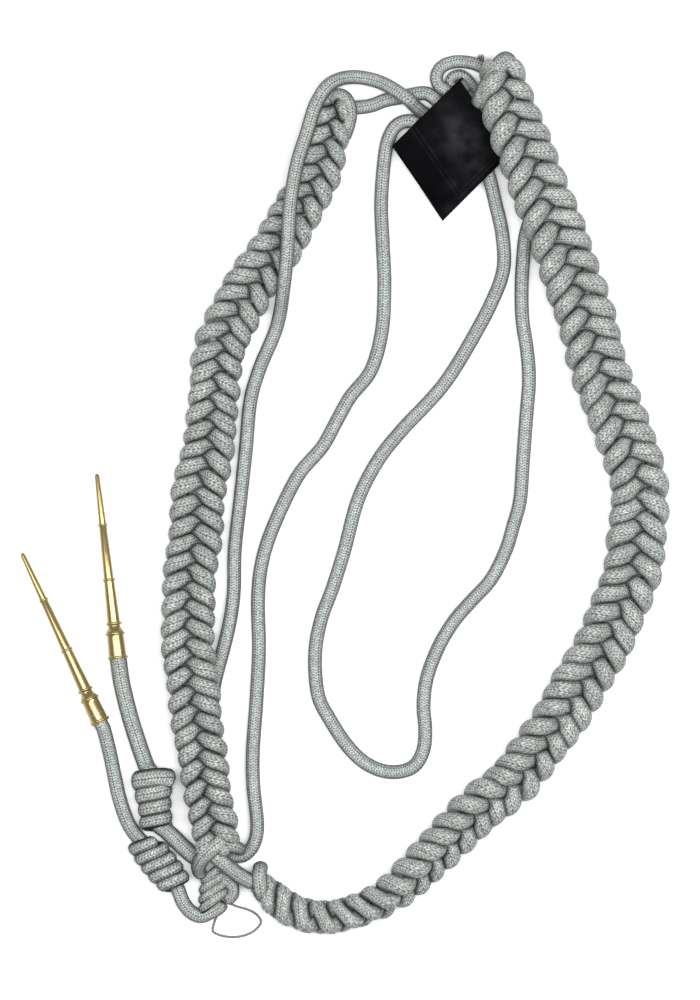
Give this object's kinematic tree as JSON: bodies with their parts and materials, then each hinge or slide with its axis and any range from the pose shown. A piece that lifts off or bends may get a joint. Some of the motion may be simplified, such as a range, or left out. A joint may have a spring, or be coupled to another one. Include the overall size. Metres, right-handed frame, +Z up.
{
  "type": "honor cord",
  "caption": "Shoulder cord of plaited silver cord with loose loops, wound knots, brass-tipped pencil ends and a black cloth shoulder tab, laid flat.",
  "frame": {"origin": "on the table under the middle of the laid-out plaits, tab and joint", "axes": "+Y from the lower joint towards the shoulder tab, +X to the right seen from above, +Z up from the table"},
  "size_m": [0.2602, 0.3539, 0.0237],
  "materials": {
    "silver_cord": "woven metallic silver thread, softly glittering",
    "black_cloth": "smooth tight wool cloth, dull with a slight sheen",
    "ferrule_brass": "polished, gilt",
    "grey_thread": "twisted sewing thread"
  },
  "bodies": {
    "root": {"front_plait": "silver_cord", "rear_plait": "silver_cord", "shoulder_tab": "black_cloth", "outer_loop_cord": "silver_cord", "inner_loop_cord": "silver_cord", "centre_loop_cord": "silver_cord", "link_cord": "silver_cord", "top_loop_outer": "silver_cord", "top_loop_inner": "silver_cord", "joint_cord": "silver_cord", "thread_loop": "grey_thread", "upper_ferrule": "ferrule_brass", "upper_pencil_cord": "silver_cord", "upper_knot": "silver_cord", "upper_pencil_tail": "silver_cord", "lower_ferrule": "ferrule_brass", "lower_pencil_cord": "silver_cord", "lower_knot": "silver_cord", "lower_pencil_tail": "silver_cord", "joint_knot": "silver_cord", "joint_stub": "silver_cord"}
  },
  "joints": []
}
